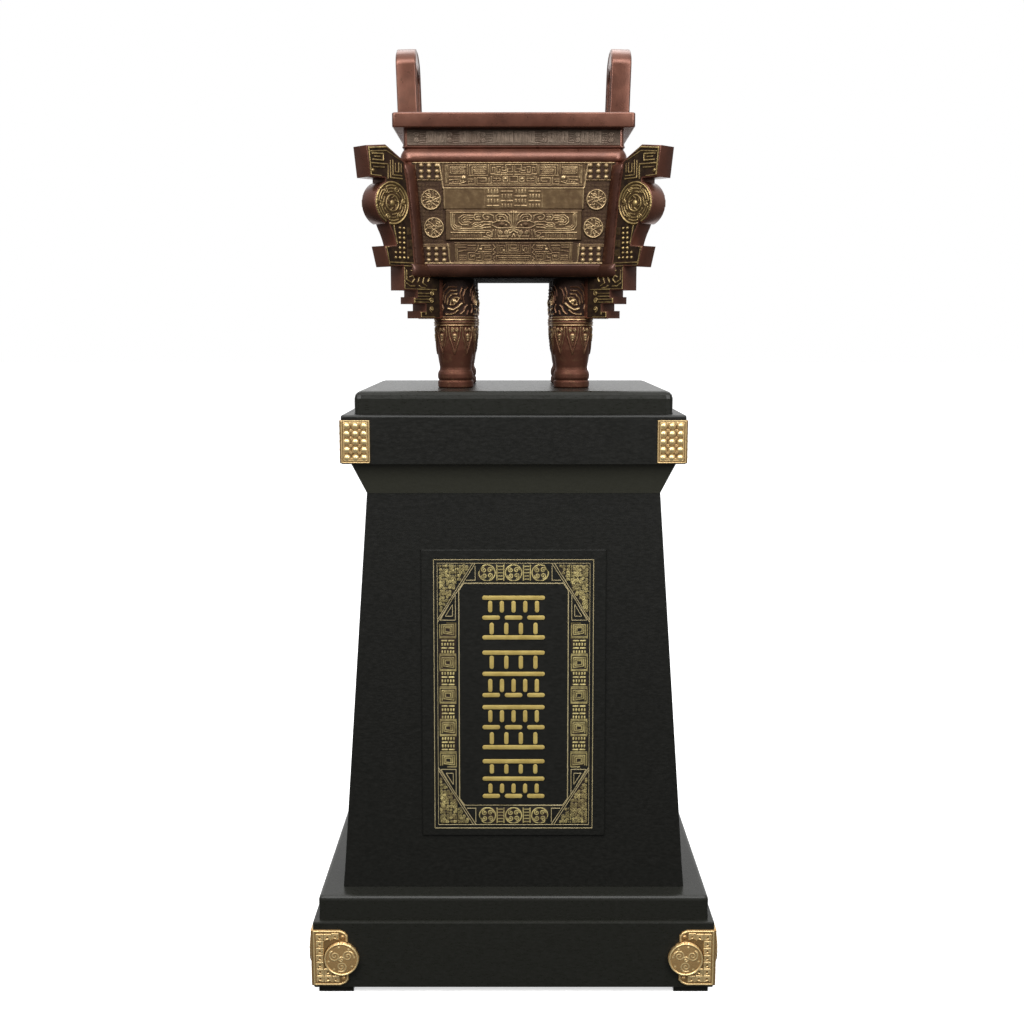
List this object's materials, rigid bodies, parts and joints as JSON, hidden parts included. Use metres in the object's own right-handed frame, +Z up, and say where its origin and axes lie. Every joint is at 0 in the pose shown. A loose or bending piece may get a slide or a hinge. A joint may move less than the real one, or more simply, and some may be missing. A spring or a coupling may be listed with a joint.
{
  "type": "bronze ding vessel on a pedestal",
  "caption": "Rectangular cast bronze ritual vessel with upright loop ears, column legs and pierced corner flanges, standing on a tall tapered lacquered pedestal with gilt fittings.",
  "frame": {"origin": "on the floor, under the centre of the pedestal", "axes": "+Z up; the front with the plaque faces -Y; +X is to the right as seen from the front"},
  "size_m": [0.6064, 0.4956, 1.3804],
  "materials": {
    "patinated_bronze": "dark brown patina, relief rubbed to gold",
    "black_lacquer": "black satin lacquer",
    "gilt": "gilt, dull in the hollows",
    "plaque_gold": "blackened ground with gold lines"
  },
  "bodies": {
    "root": {"base_plinth": "black_lacquer", "bossed_corner_back_left": "gilt", "bossed_corner_back_right": "gilt", "bossed_corner_front_left": "gilt", "bossed_corner_front_right": "gilt", "collar_block": "black_lacquer", "cornice": "black_lacquer", "ding": "patinated_bronze", "foot_back_left": "black_lacquer", "foot_back_right": "black_lacquer", "foot_front_left": "black_lacquer", "foot_front_right": "black_lacquer", "plaque": "plaque_gold", "step_board": "black_lacquer", "studded_corner_back_left": "gilt", "studded_corner_back_right": "gilt", "studded_corner_front_left": "gilt", "studded_corner_front_right": "gilt", "top_board": "black_lacquer", "trunk": "black_lacquer"}
  },
  "joints": []
}
